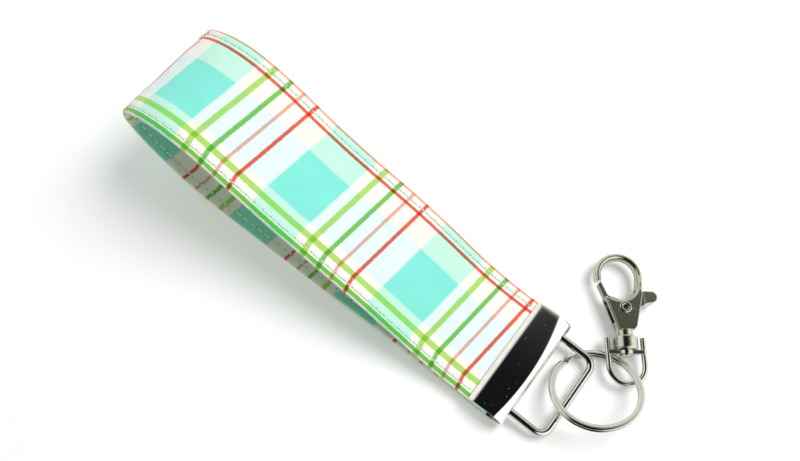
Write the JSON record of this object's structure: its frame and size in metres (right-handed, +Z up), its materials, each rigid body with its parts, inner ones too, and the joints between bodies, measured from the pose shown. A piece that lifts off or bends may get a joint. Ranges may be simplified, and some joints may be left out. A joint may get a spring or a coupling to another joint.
{
  "type": "wristlet keychain",
  "caption": "Folded fabric wrist strap in a sheet metal end clamp, with a bail, a split key ring and a swivel lever clasp.",
  "frame": {"origin": "centre of the flat underside of the strap clamp, on the surface the keychain lies on", "axes": "+X from the wrist loop towards the metal parts, +Y across the strap, +Z up from the surface it lies on"},
  "size_m": [0.1519, 0.0583, 0.0365],
  "materials": {
    "printed_fabric": "printed plain-weave cotton, plaid in aqua, lime, green, pink and red on off-white",
    "interlining": "stiff non-woven interlining, hidden",
    "thread": "pale twisted sewing thread",
    "plated_sheet": "bright nickel plate on steel sheet",
    "plated_wire": "bright nickel plate on steel wire",
    "plated_casting": "bright nickel plate on zinc alloy casting",
    "plated_rivet": "bright nickel plate on a tubular rivet",
    "spring_steel": "drawn spring wire, hidden"
  },
  "bodies": {
    "strap": {"strap_cover": "printed_fabric", "strap_core": "interlining", "outer_thread_near": "thread", "outer_thread_far": "thread", "inner_thread_near": "thread", "inner_thread_far": "thread", "clamp": "plated_sheet"},
    "bail": {"bail": "plated_wire"},
    "split_ring": {"split_ring": "plated_wire"},
    "swivel_bow": {"swivel_bow": "plated_wire"},
    "hook": {"hook_body": "plated_casting", "gate_rivet": "plated_rivet", "gate_spring": "spring_steel"},
    "gate_lever": {"gate_lever": "plated_casting"}
  },
  "joints": [
    {"name": "bail_swing", "type": "hinge", "parent": "strap", "child": "bail", "pos_m": [0.00275, 0, 0.00417], "axis": [0, -1, 0], "range_deg": [-35, 40]},
    {"name": "ring_swing", "type": "hinge", "parent": "bail", "child": "split_ring", "pos_m": [0.01527, 0, 0.00277], "axis": [0, -1, 0], "range_deg": [0, 80]},
    {"name": "bow_travel", "type": "hinge", "parent": "split_ring", "child": "swivel_bow", "pos_m": [0.019, 0.0057, 0.0055], "axis": [-0.2897, 0.275, 0.9168], "range_deg": [-140, 12]},
    {"name": "swivel_turn", "type": "hinge", "parent": "swivel_bow", "child": "hook", "pos_m": [0.01876, 0.02107, 0.0036], "axis": [-0.5985, 0.8012, 0], "continuous": true},
    {"name": "gate_open", "type": "hinge", "parent": "hook", "child": "gate_lever", "pos_m": [0.01345, 0.02884, 0.0036], "axis": [0, 0, -1], "range_deg": [0, 28], "stiffness_Nm_per_rad": 0.02, "springref_deg": -17.19}
  ]
}
